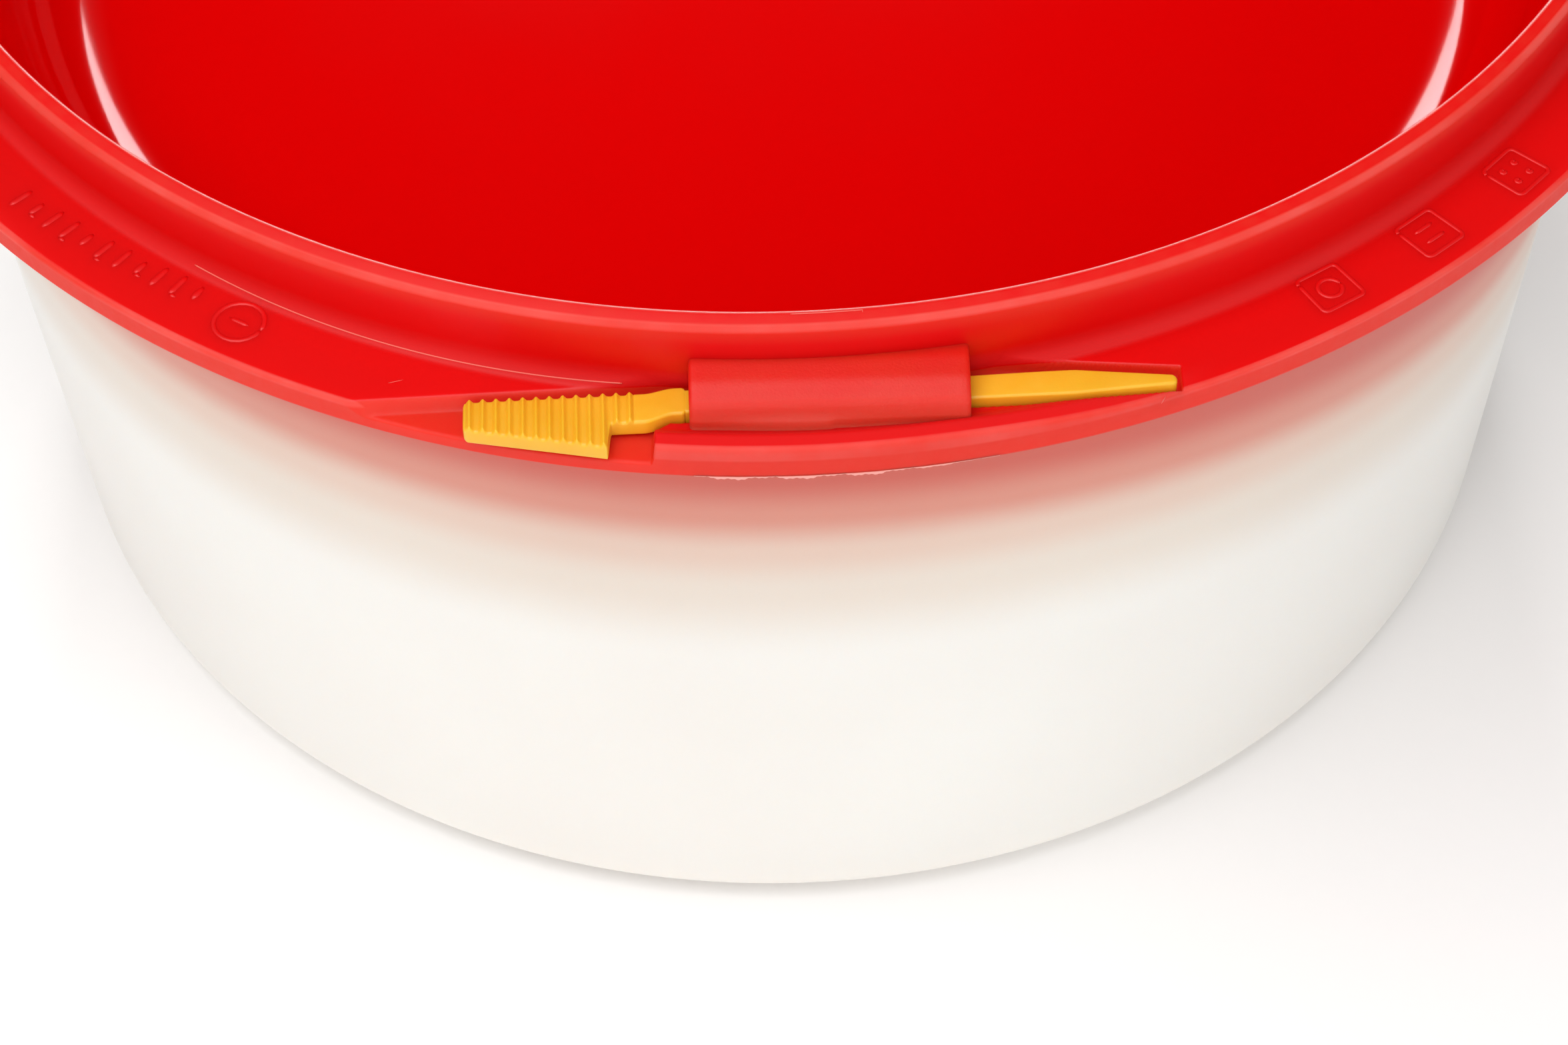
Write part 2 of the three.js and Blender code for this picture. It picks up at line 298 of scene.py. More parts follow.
class Nodes:
    """Short calls for building one material's node tree."""

    def __init__(self, name):
        self.material = bpy.data.materials.new(name)
        self.material.use_nodes = True
        self.tree = self.material.node_tree
        self.shader = self.tree.nodes["Principled BSDF"]
        self.place = self.tree.nodes.new("ShaderNodeTexCoord").outputs["Object"]

    def add(self, kind, **settings):
        node = self.tree.nodes.new(kind)
        for key, value in settings.items():
            setattr(node, key, value)
        return node

    def link(self, source, target):
        self.tree.links.new(source, target)

    def noise(self, scale, detail=3.0, roughness=0.55, stretch=None):
        """Noise whose features are about 1 / scale metres across."""
        node = self.add("ShaderNodeTexNoise")
        node.inputs["Scale"].default_value = scale
        node.inputs["Detail"].default_value = detail
        node.inputs["Roughness"].default_value = roughness
        source = self.place
        if stretch is not None:
            mapping = self.add("ShaderNodeMapping")
            mapping.inputs["Scale"].default_value = stretch
            self.link(source, mapping.inputs["Vector"])
            source = mapping.outputs["Vector"]
        self.link(source, node.inputs["Vector"])
        return node.outputs["Fac"]

    def spots(self, scale):
        node = self.add("ShaderNodeTexVoronoi")
        node.inputs["Scale"].default_value = scale
        self.link(self.place, node.inputs["Vector"])
        return node.outputs["Distance"]

    def ramp(self, source, low, high, to_low=0.0, to_high=1.0):
        node = self.add("ShaderNodeMapRange")
        node.inputs["From Min"].default_value = low
        node.inputs["From Max"].default_value = high
        node.inputs["To Min"].default_value = to_low
        node.inputs["To Max"].default_value = to_high
        self.link(source, node.inputs["Value"])
        return node.outputs["Result"]

    def math(self, operation, first, second):
        node = self.add("ShaderNodeMath", operation=operation)
        for socket, value in zip(node.inputs, (first, second)):
            if isinstance(value, (int, float)):
                socket.default_value = value
            else:
                self.link(value, socket)
        return node.outputs["Value"]

    def mix(self, factor, first, second):
        """A blend of two colours; each may be a colour or a socket."""
        node = self.add("ShaderNodeMix", data_type="RGBA")
        self.link(factor, node.inputs["Factor"])
        for socket, value in zip((node.inputs[6], node.inputs[7]), (first, second)):
            if isinstance(value, tuple):
                socket.default_value = (*value, 1.0)
            else:
                self.link(value, socket)
        return node.outputs[2]

    def height(self):
        """The Z of the place, in metres."""
        node = self.add("ShaderNodeSeparateXYZ")
        self.link(self.place, node.inputs["Vector"])
        return node.outputs["Z"]

    def side(self):
        """The X of the place, in metres."""
        node = self.add("ShaderNodeSeparateXYZ")
        self.link(self.place, node.inputs["Vector"])
        return node.outputs["X"]

    def between(self, value, start, end):
        """0 to 1 as value, in metres, goes from start to end, which are in millimetres."""
        return self.ramp(value, start * MM, end * MM)

    def radius(self):
        """The distance from the object's axis, in metres."""
        split = self.add("ShaderNodeSeparateXYZ")
        self.link(self.place, split.inputs["Vector"])
        squares = [self.math("MULTIPLY", split.outputs[axis], split.outputs[axis]) for axis in "XY"]
        return self.math("SQRT", self.math("ADD", *squares), 0.0)

    def bump(self, *layers):
        """Stacks (height socket, distance in millimetres) layers into the shader's normal."""
        normal = None
        for height, distance in layers:
            node = self.add("ShaderNodeBump")
            node.inputs["Distance"].default_value = distance * MM
            self.link(height, node.inputs["Height"])
            if normal is not None:
                self.link(normal, node.inputs["Normal"])
            normal = node.outputs["Normal"]
        self.link(normal, self.shader.inputs["Normal"])

    def set(self, **values):
        for key, value in values.items():
            self.shader.inputs[key.replace("_", " ")].default_value = value


RED = (0.700, 0.0001, 0.0005)
RED_WORN = (0.660, 0.0200, 0.0040)
RED_DEEP = (0.660, 0.0000, 0.0002)
# Pale pink of the painted highlight lines along the lid's edges.
RED_PAINTED_HIGHLIGHT = (0.840, 0.260, 0.230)
RED_FILM = (0.830, 0.340, 0.290)
RED_SCRATCH = (0.800, 0.150, 0.110)
# Paler red of the painted sheen on the sleeve's lower part.
RED_PAINTED_SHEEN = (0.660, 0.052, 0.026)
RED_DEPTH = (1.0, 0.04, 0.03)  # red light goes deep into the plastic, green and blue hardly enter
YELLOW = (0.800, 0.410, 0.014)
YELLOW_PALE = (0.830, 0.455, 0.024)
MILKY = (0.86, 0.80, 0.74)
MILKY_PALE = (0.90, 0.86, 0.80)
# Each stop of the painted red-tinted shade under the lid's flange: its place along the ramp, and the colour
# that the wall is multiplied by.
PAINTED_RED_SHADE = [
    (0.015, (1.0, 1.0, 1.0)), (0.255, (0.88, 0.80, 0.75)), (0.378, (0.85, 0.65, 0.58)),
    (0.494, (0.76, 0.31, 0.25)), (0.610, (0.66, 0.12, 0.09)), (0.737, (0.60, 0.07, 0.055)),
    (1.0, (0.36, 0.002, 0.010)),
]


def lid_wear(m, radius, height, outside_dish):
    """How worn the rim is, and how matt the skirt and the pockets are, each from 0 to 1."""
    rim_top = LID_Z + RIM_TOP
    flange_top = LID_Z + FLANGE_TOP
    high = m.between(height, rim_top - 2.9, rim_top - 0.8)
    on_rim = m.math("MULTIPLY", high, m.between(radius, RIM_OUTER - 0.9, RIM_OUTER - 0.5))
    rim_face = m.math("MULTIPLY", m.math("SUBTRACT", high, on_rim), outside_dish)
    on_skirt = m.between(radius, FLANGE_R - 0.6, FLANGE_R - 0.2)
    in_pocket = m.between(height, flange_top - 0.02, flange_top - 0.12)
    eroded = m.math("MAXIMUM", on_skirt, m.math("MULTIPLY", in_pocket, outside_dish))
    patches = m.ramp(m.noise(420.0, detail=4.0), 0.25, 0.85, 0.0, 0.6)
    worn = m.math("MAXIMUM", on_rim, m.math("MULTIPLY", rim_face, patches))
    return worn, eroded


def painted_edge_highlights(m, radius, height):
    """Painted highlight lines along the rim's inner edge, and faintly along its shoulder and the flange's
    lip.
    """
    rim_top = LID_Z + RIM_TOP
    flange_top = LID_Z + FLANGE_TOP
    edge = m.math("MULTIPLY", m.between(radius, RIM_INNER - 0.20, RIM_INNER + 0.02),
                  m.between(radius, RIM_INNER + 0.40, RIM_INNER + 0.15))
    at_top = m.between(height, rim_top - 0.55, rim_top - 0.35)
    broken = m.ramp(m.noise(60.0), 0.3, 0.6, 0.5, 0.95)
    edge_highlight = m.math("MULTIPLY", m.math("MULTIPLY", edge, at_top), broken)
    shoulder = m.math("MULTIPLY", m.between(radius, RIM_OUTER - 0.75, RIM_OUTER - 0.50),
                      m.between(height, rim_top - 1.1, rim_top - 0.8))
    lip = m.math("MULTIPLY", m.between(radius, FLANGE_R - 0.62, FLANGE_R - 0.48),
                 m.between(height, flange_top - 0.75, flange_top - 0.45))
    faint = m.ramp(m.noise(90.0), 0.3, 0.7, 0.05, 0.25)
    return m.math("MAXIMUM", edge_highlight, m.math("MULTIPLY", m.math("MAXIMUM", shoulder, lip), faint))


def lid_roughness(m, height, outside_dish, cloud, matt_share):
    """Polished in the dish, satin outside it, duller in the collar's foot and matt where worn."""
    flange_top = LID_Z + FLANGE_TOP
    cove = m.math("MULTIPLY", m.between(height, flange_top, flange_top + 0.2),
                  m.between(height, flange_top + COVE + 1.0, flange_top + COVE))
    foot = m.math("MULTIPLY", m.math("MULTIPLY", cove, outside_dish), 0.30)
    polish = m.math("ADD", m.ramp(outside_dish, 0.0, 1.0, 0.06, 0.36), foot)
    scuff = m.ramp(m.noise(900.0, detail=5.0), 0.3, 0.8)
    blend = m.add("ShaderNodeMix", data_type="FLOAT")
    m.link(matt_share, blend.inputs["Factor"])
    m.link(m.math("ADD", polish, m.math("MULTIPLY", cloud, 0.04)), blend.inputs[2])
    m.link(m.ramp(scuff, 0.0, 1.0, 0.50, 0.62), blend.inputs[3])
    return blend.outputs[0]


def lid_material():
    """Red polypropylene: glossy in the dish, matt on the skirt and rim, with painted highlight lines along
    its edges.
    """
    m = Nodes("lid_red")
    radius = m.radius()
    height = m.height()
    outside_dish = m.between(radius, RIM_INNER + 0.1, RIM_INNER + 0.6)
    worn, eroded = lid_wear(m, radius, height, outside_dish)
    matt_share = m.math("MAXIMUM", worn, eroded)
    cloud = m.noise(38.0)
    plain = m.mix(m.math("MULTIPLY", matt_share, 0.85), m.mix(cloud, RED, RED_DEEP), RED_WORN)
    # Painted highlights: pale lines on the rim's inner edge, its shoulder and the flange's lip.
    edge_highlight = painted_edge_highlights(m, radius, height)
    m.link(m.mix(edge_highlight, plain, RED_PAINTED_HIGHLIGHT), m.shader.inputs["Base Color"])
    m.link(lid_roughness(m, height, outside_dish, cloud, matt_share), m.shader.inputs["Roughness"])
    grain = m.math("MULTIPLY", m.noise(5200.0, detail=2.0), outside_dish)
    waves = m.noise(55.0, detail=1.0)
    m.bump((waves, 0.05), (grain, 0.008))
    m.set(IOR=1.49, Specular_IOR_Level=0.36, Subsurface_Weight=0.6, Subsurface_Scale=0.005)
    m.shader.inputs["Subsurface Radius"].default_value = RED_DEPTH
    return m.material


def relief_material(name, color):
    """Thin raised plastic: the lid's red, or the paler red of a film of flash."""
    m = Nodes(name)
    cloud = m.noise(900.0)
    m.link(m.mix(cloud, color, tuple(0.9 * part for part in color)), m.shader.inputs["Base Color"])
    m.link(m.ramp(cloud, 0.2, 0.8, 0.34, 0.46), m.shader.inputs["Roughness"])
    m.bump((m.noise(3000.0), 0.01))
    m.set(IOR=1.49)
    return m.material


def sleeve_material():
    """The same red where the mould is spark-eroded: a fine matt grain, with painted sheen that lightens the
    sleeve's lower part.
    """
    m = Nodes("sleeve_red")
    cloud = m.noise(120.0)
    # Painted sheen: the lower part of the sleeve is lighter, as where the front light falls on it.
    low = m.ramp(m.height(), (LID_Z + 6.4) * MM, (LID_Z + 3.2) * MM)
    tone = m.mix(cloud, RED_WORN, RED_DEEP)
    m.link(m.mix(low, tone, RED_PAINTED_SHEEN), m.shader.inputs["Base Color"])
    m.link(m.ramp(cloud, 0.2, 0.8, 0.44, 0.54), m.shader.inputs["Roughness"])
    m.bump((m.noise(260.0, detail=2.0), 0.05), (m.noise(4000.0, detail=3.0), 0.028))
    m.set(IOR=1.49, Specular_IOR_Level=0.40, Subsurface_Weight=0.6, Subsurface_Scale=0.005)
    m.shader.inputs["Subsurface Radius"].default_value = RED_DEPTH
    return m.material


def yellow_material(name, grain_mm):
    """Warm yellow polypropylene with a satin skin and paler, worn patches."""
    m = Nodes(name)
    cloud = m.noise(160.0)
    m.link(m.mix(m.ramp(cloud, 0.35, 0.75), YELLOW, YELLOW_PALE), m.shader.inputs["Base Color"])
    m.link(m.ramp(m.noise(700.0), 0.3, 0.7, 0.32, 0.44), m.shader.inputs["Roughness"])
    m.bump((m.noise(300.0, detail=2.0), 0.03), (m.noise(4000.0, detail=2.0), grain_mm))
    m.set(IOR=1.49, Subsurface_Weight=0.35, Subsurface_Scale=0.002)
    m.shader.inputs["Subsurface Radius"].default_value = (1.0, 0.5, 0.15)
    return m.material


def painted_red_shade_ramp(m, height):
    """The colour of the painted red-tinted shade on the tub's wall under the flange, from none at the
    bottom to deep red at the top.
    """
    # The ramp node below holds the colours of the painted red-tinted shade.
    behind = m.add("ShaderNodeValToRGB")
    behind.color_ramp.interpolation = "EASE"
    stops = behind.color_ramp.elements
    stops[1].position = PAINTED_RED_SHADE[-1][0]
    for position, _ in PAINTED_RED_SHADE[1:-1]:
        stops.new(position)
    for stop, (position, color) in zip(stops, PAINTED_RED_SHADE):
        stop.position = position
        stop.color = (*color, 1.0)
    # The painted shade reaches higher toward +X, on the side turned from the light.
    to_right = m.math("MAXIMUM", m.side(), 0.0)
    drift = m.math("MULTIPLY", m.math("MULTIPLY", to_right, to_right), PAINTED_SHADE_DRIFT)
    drifted = m.math("ADD", height, drift)
    m.link(m.between(drifted, TUB_TOP - 46.0, TUB_TOP + 11.0), behind.inputs["Fac"])
    return behind.outputs["Color"]


def outer_skin(m, height):
    """1 on the outside of the tapered wall below the rim's bead, 0 inside it and on the bead."""
    taper = (WALL_TOP_R - WALL_FOOT_R) / (TUB_TOP - BEAD_DEPTH - 1.0 - WALL_FOOT_Z)
    untapered = m.math("SUBTRACT", m.radius(), m.math("MULTIPLY", height, taper))
    skin_r = WALL_FOOT_R - WALL_FOOT_Z * taper
    outside = m.between(untapered, skin_r - 1.0, skin_r - 0.5)
    below_bead = m.between(height, TUB_TOP - BEAD_DEPTH, TUB_TOP - BEAD_DEPTH - 3.0)
    return m.math("MULTIPLY", outside, below_bead)


def tub_material(name, painted_shade_share):
    """Natural polypropylene: milky and a little translucent, with a satin bloom and faint flow marks.

    Under the lid's flange the wall's colour carries painted shade, tinted red as if lit by the red lid,
    deep at the top and fading downward. The painted shade is deeper toward +X, where the wall is
    turned from the light, and only the outer skin has it.
    """
    m = Nodes(name)
    cloud = m.noise(14.0, detail=2.0)
    flow = m.noise(9.0, detail=2.0, stretch=(1.0, 1.0, 0.15))
    tone = m.mix(m.ramp(cloud, 0.3, 0.7), MILKY, MILKY_PALE)
    height = m.height()
    # Multiplies the milky tone by the painted red-tinted shade, on the outer skin only.
    tinted = m.add("ShaderNodeMix", data_type="RGBA", blend_type="MULTIPLY")
    m.link(m.math("MULTIPLY", outer_skin(m, height), painted_shade_share), tinted.inputs["Factor"])
    m.link(tone, tinted.inputs[6])
    m.link(painted_red_shade_ramp(m, height), tinted.inputs[7])
    m.link(tinted.outputs[2], m.shader.inputs["Base Color"])
    m.link(m.ramp(flow, 0.3, 0.7, 0.30, 0.42), m.shader.inputs["Roughness"])
    m.bump((flow, 0.10), (m.noise(1800.0, detail=3.0), 0.010))
    m.set(IOR=1.49, Subsurface_Weight=0.35, Subsurface_Scale=0.006)
    m.shader.inputs["Subsurface Radius"].default_value = (1.0, 0.75, 0.6)
    return m.material


def seal_material():
    """Soft off-white elastomer, matt, with a little dust."""
    m = Nodes("seal_rubber")
    dust = m.noise(500.0, detail=4.0)
    tone = m.mix(m.ramp(dust, 0.35, 0.7), (0.62, 0.60, 0.56), (0.74, 0.72, 0.68))
    m.link(tone, m.shader.inputs["Base Color"])
    m.link(m.ramp(dust, 0.3, 0.7, 0.62, 0.8), m.shader.inputs["Roughness"])
    m.bump((dust, 0.02))
    return m.material


def wire_material():
    """Galvanised drawn wire: bright with fine lengthwise lines and dull spangle."""
    m = Nodes("wire_zinc")
    spangle = m.spots(700.0)
    tone = m.mix(m.ramp(spangle, 0.1, 0.6), (0.60, 0.61, 0.62), (0.42, 0.43, 0.45))
    m.link(tone, m.shader.inputs["Base Color"])
    m.link(m.ramp(m.noise(1400.0), 0.3, 0.7, 0.24, 0.42), m.shader.inputs["Roughness"])
    m.bump((m.noise(900.0, detail=4.0), 0.02))
    m.set(Metallic=1.0)
    return m.material


# ---- The lid ----

COVE = 1.6  # radius of the foot of the collar
EDGE = 0.5  # radius of the flange's top edge


def lid_profile():
    """The lid's outline from the dish's middle over the rim to the underside's middle.

    Also gives, for each point, whether it belongs to the flange's top, so that the pockets can shape it.
    """
    lean = math.atan2(RIM_INNER - DISH_FLOOR_R, RIM_TOP - DISH_FLOOR)
    out = DISH_WALL / math.cos(lean)
    top = rounded([
        (0, DISH_FLOOR, 0), (DISH_FLOOR_R, DISH_FLOOR, DISH_FILLET), (RIM_INNER, RIM_TOP, 0.35),
        (RIM_OUTER - 0.5, RIM_TOP - 0.40, 0.5), (RIM_OUTER, RIM_TOP - 1.0, 0.5), (RIM_OUTER, 6.0, 0),
    ])
    flange = rounded([
        (RIM_OUTER, 6.0, 0), (RIM_OUTER, FLANGE_TOP, COVE), (FLANGE_R, FLANGE_TOP, EDGE),
        (FLANGE_R, 0.0, 0),
    ], step=11.25)
    slope = math.tan(lean)
    under = rounded([
        (FLANGE_R, 0.0, 0), (FLANGE_R - 0.15, 0.0, 0), (RING_OUTER, 0.0, 0.3),
        (RING_OUTER, -RING_DEPTH, 0.4), (RING_INNER, -RING_DEPTH, 0.4), (RING_INNER, 0.0, 0.3),
        (DISH_FLOOR_R + out + slope * (0 - DISH_FLOOR), 0.0, 0.5),
        (DISH_FLOOR_R + out - slope * DISH_WALL, DISH_FLOOR - DISH_WALL, DISH_FILLET + DISH_WALL),
        (0, DISH_FLOOR - DISH_WALL, 0),
    ])
    top = divided(top, 6.0)
    flange = divided(flange, 0.16)
    under = divided(under, 6.0)
    path = np.concatenate([top[:-1], flange, under[1:]])
    shaped = np.zeros(len(path), bool)
    shaped[len(top) - 1:len(top) - 1 + len(flange)] = True
    return path, shaped


GRIP_POCKET = [
    (-60, -106.3), (-6, -104.07), (-6, -103.0), (-4, -103.0), (-4, -110.0),
    (NOTCH_X + 1.5, -110.0), (NOTCH_X, -110.95), (NOTCH_X, -125), (-60, -125),
]
TIP_POCKET = [
    (-6, -103.0), (22.5, -102.95), (29.3, -102.75), (TIP_POCKET_END, -103.8),
    (TIP_POCKET_END, -107.3), (30.5, -108.5), (10, -109.15), (-6, -109.7),
]
BACK_SLOPE = 1.15
WALL_SLOPE = 0.45
TIP_SLOPE = 0.3


def ledge_rise(x, y):
    """How far the ledge along the edge stands above the flange."""
    radius = np.hypot(x, y)
    across = smooth_step((radius - LEDGE_INNER) / (LEDGE_CREST - LEDGE_INNER))
    fade = 1 - smooth_step((x - LEDGE_FADE) / (LEDGE_RIGHT - LEDGE_FADE))
    start = np.where((x > NOTCH_X) & (y < -90), 1.0, 0.0)
    return (LEDGE_TOP - FLANGE_TOP) * across * fade * start


def pocket_depth(x, y, level):
    """The height left by the pockets where the flange would be at `level`."""
    grip = outline_distance(x, y, GRIP_POCKET)
    behind = -106.3 + (x + 60) * (2.23 / 54.0) - y
    narrowing = smooth_step((x - NOTCH_X + 5.0) / 7.0)
    slope = np.where(behind < 2.0, BACK_SLOPE + (WALL_SLOPE - BACK_SLOPE) * narrowing, WALL_SLOPE)
    depth = smooth_step(-grip / slope)
    tip = smooth_step(-outline_distance(x, y, TIP_POCKET) / TIP_SLOPE)
    return level + (POCKET_FLOOR - level) * np.maximum(depth, tip)


def shape_flange(grid, shaped):
    """Cuts the pockets into the flange and raises the ledge, by moving the flange's own points."""
    part = grid[:, shaped]
    x, y, z = part[..., 0], part[..., 1], part[..., 2]
    front = (y < -60)
    level = FLANGE_TOP + ledge_rise(x, y)
    local = np.where(front, pocket_depth(x, y, level), FLANGE_TOP)
    radius = np.hypot(x, y)
    on_edge = radius > FLANGE_R - EDGE - 1e-6
    lifted = np.where(on_edge, z * local / FLANGE_TOP, z + local - FLANGE_TOP)
    foot = smooth_step((6.0 - z) / (6.0 - FLANGE_TOP - COVE))
    keep = np.where(z > FLANGE_TOP + COVE - 1e-6, z + (local - FLANGE_TOP) * foot, lifted)
    part[..., 2] = keep
    under_sleeve = (x > SLEEVE_LEFT - 0.1) & (x < SLEEVE_RIGHT + 0.1) & front & (part[..., 2] < 4.6)
    part[..., 1] = np.where(under_sleeve & (y > -107), np.maximum(y, -104.9), y)
    grid[:, shaped] = part


def column_angles():
    """Angles round the lid, close together where the sleeve and the pockets are."""
    fine = np.radians(np.arange(-114.5, -62.0, 0.075))
    coarse = np.radians(np.arange(-62.0, 245.4, 1.0))
    return np.concatenate([fine, coarse])


def make_lid(material):
    profile, shaped = lid_profile()
    grid = wheel(profile, column_angles())
    shape_flange(grid, shaped)
    points, faces = turned_shell(grid, on_axis=True)
    points = points + [0, 0, LID_Z]
    lid = mesh_piece("lid_moulding", points, faces, material)
    return lid


SLEEVE_EDGE = 0.5
HOLE_CLEARANCE = 0.3


def sleeve_outline():
    """Closed outline (y, z) of the sleeve's outside, from the collar over the top to the flange."""
    back = 2.0 - RIM_OUTER
    return divided(rounded([
        (back, 0.6, 0.2), (back, SLEEVE_TOP - 0.25, 0.3), (-105.6, SLEEVE_TOP, 3.0),
        (-108.3, SLEEVE_TOP - 0.35, 3.0), (-110.3, SLEEVE_TOP - 1.5, 1.6),
        (SLEEVE_FRONT, SLEEVE_TOP - 3.4, 1.2), (SLEEVE_FRONT - 0.02, 3.1, 0.8),
        (SLEEVE_FRONT - 0.4, 2.5, 0.3), (SLEEVE_FRONT - 0.4, 0.6, 0.2),
    ], closed=True), 0.5, closed=True)


def sleeve_hole():
    """Closed outline (y, z) of the hole for the blade, with y from the pin's middle line."""
    half_back, half_front = BLADE_BACK + HOLE_CLEARANCE, BLADE_FRONT - HOLE_CLEARANCE
    top = PIN_TOP + HOLE_CLEARANCE
    return rounded([
        (half_back, POCKET_FLOOR - 0.05, 0.3), (half_back, top, 0.3),
        (half_front, top, 0.3), (half_front, POCKET_FLOOR - 0.05, 0.3),
    ], closed=True)


def sleeve_ring(x, outer):
    """The outline at x: drawn in at the rounded ends, and bulging low in front."""
    end = min(x - SLEEVE_LEFT, SLEEVE_RIGHT - x)
    inset = 0.45 * (1 - math.sqrt(max(0.0, 1 - (1 - min(end / SLEEVE_EDGE, 1)) ** 2)))
    loop = outer.copy()
    away = loop - np.array([-107.0, 3.0])
    loop -= away / np.linalg.norm(away, axis=1)[:, None] * inset
    front = smooth_step((-108.5 - loop[:, 0]) / 2.0)
    low = smooth_step((4.6 - loop[:, 1]) / 1.6)
    loop[:, 0] -= front * low * sleeve_bulge(x)
    return np.column_stack([np.full(len(loop), x), loop])


def make_sleeve(material):
    """The bridge over the pin: convex, open at both ends, with a small step in its front edge."""
    outer = sleeve_outline()
    hole = even_loop(sleeve_hole(), len(outer))
    stations = np.concatenate([
        SLEEVE_LEFT + SLEEVE_EDGE * (1 - np.cos(np.linspace(0, math.pi / 2, 5))),
        np.arange(SLEEVE_LEFT + 0.9, SLEEVE_RIGHT - 0.8, 0.45),
        SLEEVE_RIGHT - SLEEVE_EDGE * (1 - np.cos(np.linspace(math.pi / 2, 0, 5))),
    ])
    rings = [sleeve_ring(x, outer) for x in stations]
    for x in stations[::-1]:
        middle_y = PIN_MIDDLE + math.tan(PIN_TILT) * x
        rings.append(np.column_stack([np.full(len(hole), x), hole[:, 0] + middle_y, hole[:, 1]]))
    rings = np.array(rings)
    points, faces = skin(rings, caps=False)
    size = rings.shape[1]
    last = (len(rings) - 1) * size
    faces += [[last + k, last + (k + 1) % size, (k + 1) % size, k] for k in range(size)]
    points, faces = outward(points, faces)
    return mesh_piece("lid_sleeve", points + [0, 0, LID_Z], faces, material)


def sleeve_bulge(x):
    """How far the sleeve's lower front edge stands out: a swell on the left with a step at its end."""
    swell = 0.50 * math.exp(-((x - 2.0) / 8.0) ** 2)
    return swell * (1.0 if x < 5.0 else 0.6) - 0.1


def even_loop(corners, count):
    """A closed outline resampled to `count` evenly spaced points."""
    ring = np.vstack([corners, corners[:1]])
    run = np.concatenate([[0], np.cumsum(np.linalg.norm(np.diff(ring, axis=0), axis=1))])
    spots = np.linspace(0, run[-1], count, endpoint=False)
    return np.column_stack([np.interp(spots, run, ring[:, k]) for k in (0, 1)])


# ---- Small marks on the lid ----

def flange_surface(x, y):
    """Height of the flange's top, with the cove at the collar's foot."""
    inward = RIM_OUTER + COVE - math.hypot(x, y)
    if inward <= 0:
        return FLANGE_TOP
    return FLANGE_TOP + COVE - math.sqrt(COVE ** 2 - min(inward, COVE) ** 2)


def on_flange(angle, radius, points):
    """(along, outward) points of a small drawing, set on the flange at an angle in degrees."""
    placed = []
    for along, out in points:
        turn = math.radians(angle) + along / radius
        reach = radius + out
        placed.append((reach * math.cos(turn), reach * math.sin(turn)))
    return placed


def ridge(path, width, height, surface=flange_surface):
    """A low rounded ridge that lies on the lid along a plan path."""
    path = divided(np.array(path, float), 0.5)
    along = np.gradient(path, axis=0)
    along /= np.linalg.norm(along, axis=1)[:, None]
    side = np.column_stack([-along[:, 1], along[:, 0]])
    rings = []
    for index, (here, out) in enumerate(zip(path, side)):
        end = 0.35 if index in (0, len(path) - 1) else 1.0
        level = surface(*here)
        ring = [[*(here + out * width / 2 * end), level - 0.1]]
        for turn in np.linspace(0, math.pi, 7):
            reach = out * math.cos(turn) * width / 2 * end
            ring.append([*(here + reach), level + height * math.sin(turn) * end])
        ring.append([*(here - out * width / 2 * end), level - 0.1])
        rings.append(ring)
    return outward(*skin(np.array(rings)))


def circle_path(centre_along, centre_out, radius, steps=20):
    turns = np.linspace(0, 2 * math.pi, steps + 1)
    return [(centre_along + radius * math.cos(t), centre_out + radius * math.sin(t)) for t in turns]


def square_path(half):
    corners = rounded([
        (-half, -half, 0.6), (half, -half, 0.6), (half, half, 0.6), (-half, half, 0.6),
    ], closed=True)
    return [*map(tuple, corners), tuple(corners[0])]


def marks_left():
    """A ring with a bar in it, then a row of short bars, on the left of the flange."""
    width, height = 0.55, 0.12
    yield ridge(on_flange(-121.0, 109.8, circle_path(0, 0, 2.7)), width, height)
    yield ridge(on_flange(-121.0, 109.8, [(-1.2, 0), (1.2, 0)]), width, height)
    for index in range(11):
        angle = -124.3 - index * 1.32
        radius = 108.7 + 0.2 * index
        half = 1.5 if index % 3 else 1.0
        yield ridge(on_flange(angle, radius, [(0, -half), (0, half)]), width * 1.3, height)
        if index % 2:
            yield ridge(on_flange(angle, radius, [(0, half), (0.9, half)]), width, height)


def marks_right():
    """Three square frames on the right of the flange: with a ring, with two bars and with four dots."""
    width, height = 0.50, 0.12
    places = ((-58.3, 109.6), (-51.1, 109.9), (-43.9, 110.4))
    for angle, radius in places:
        yield ridge(on_flange(angle, radius, square_path(2.6)), width, height)
    yield ridge(on_flange(*places[0], circle_path(0, 0, 1.3)), width, height)
    for out in (-0.9, 0.9):
        yield ridge(on_flange(*places[1], [(-1.3, out), (1.3, out)]), width, height)
    for along in (-1.0, 1.0):
        for out in (-1.0, 1.0):
            yield ridge(on_flange(*places[2], circle_path(along, out, 0.25, 8)), width, height)


def parting_line():
    """The fine line where two halves of the mould met, on the flange left of the pin."""
    turns = np.linspace(-125.7, -98.9, 80)
    radii = 105.9 + 0.35 * np.cos(np.radians((turns + 112.0) * 6.0))
    path = [(r * math.cos(math.radians(t)), r * math.sin(math.radians(t))) for t, r in zip(turns, radii)]
    return ridge(path, 0.14, 0.05)


def rim_surface(x, y):
    """The height of the rim's top, which falls a little toward its outer edge."""
    fall, width = 0.45, RIM_OUTER - 0.7 - RIM_INNER
    return RIM_TOP - fall * (math.hypot(x, y) - RIM_INNER) / width


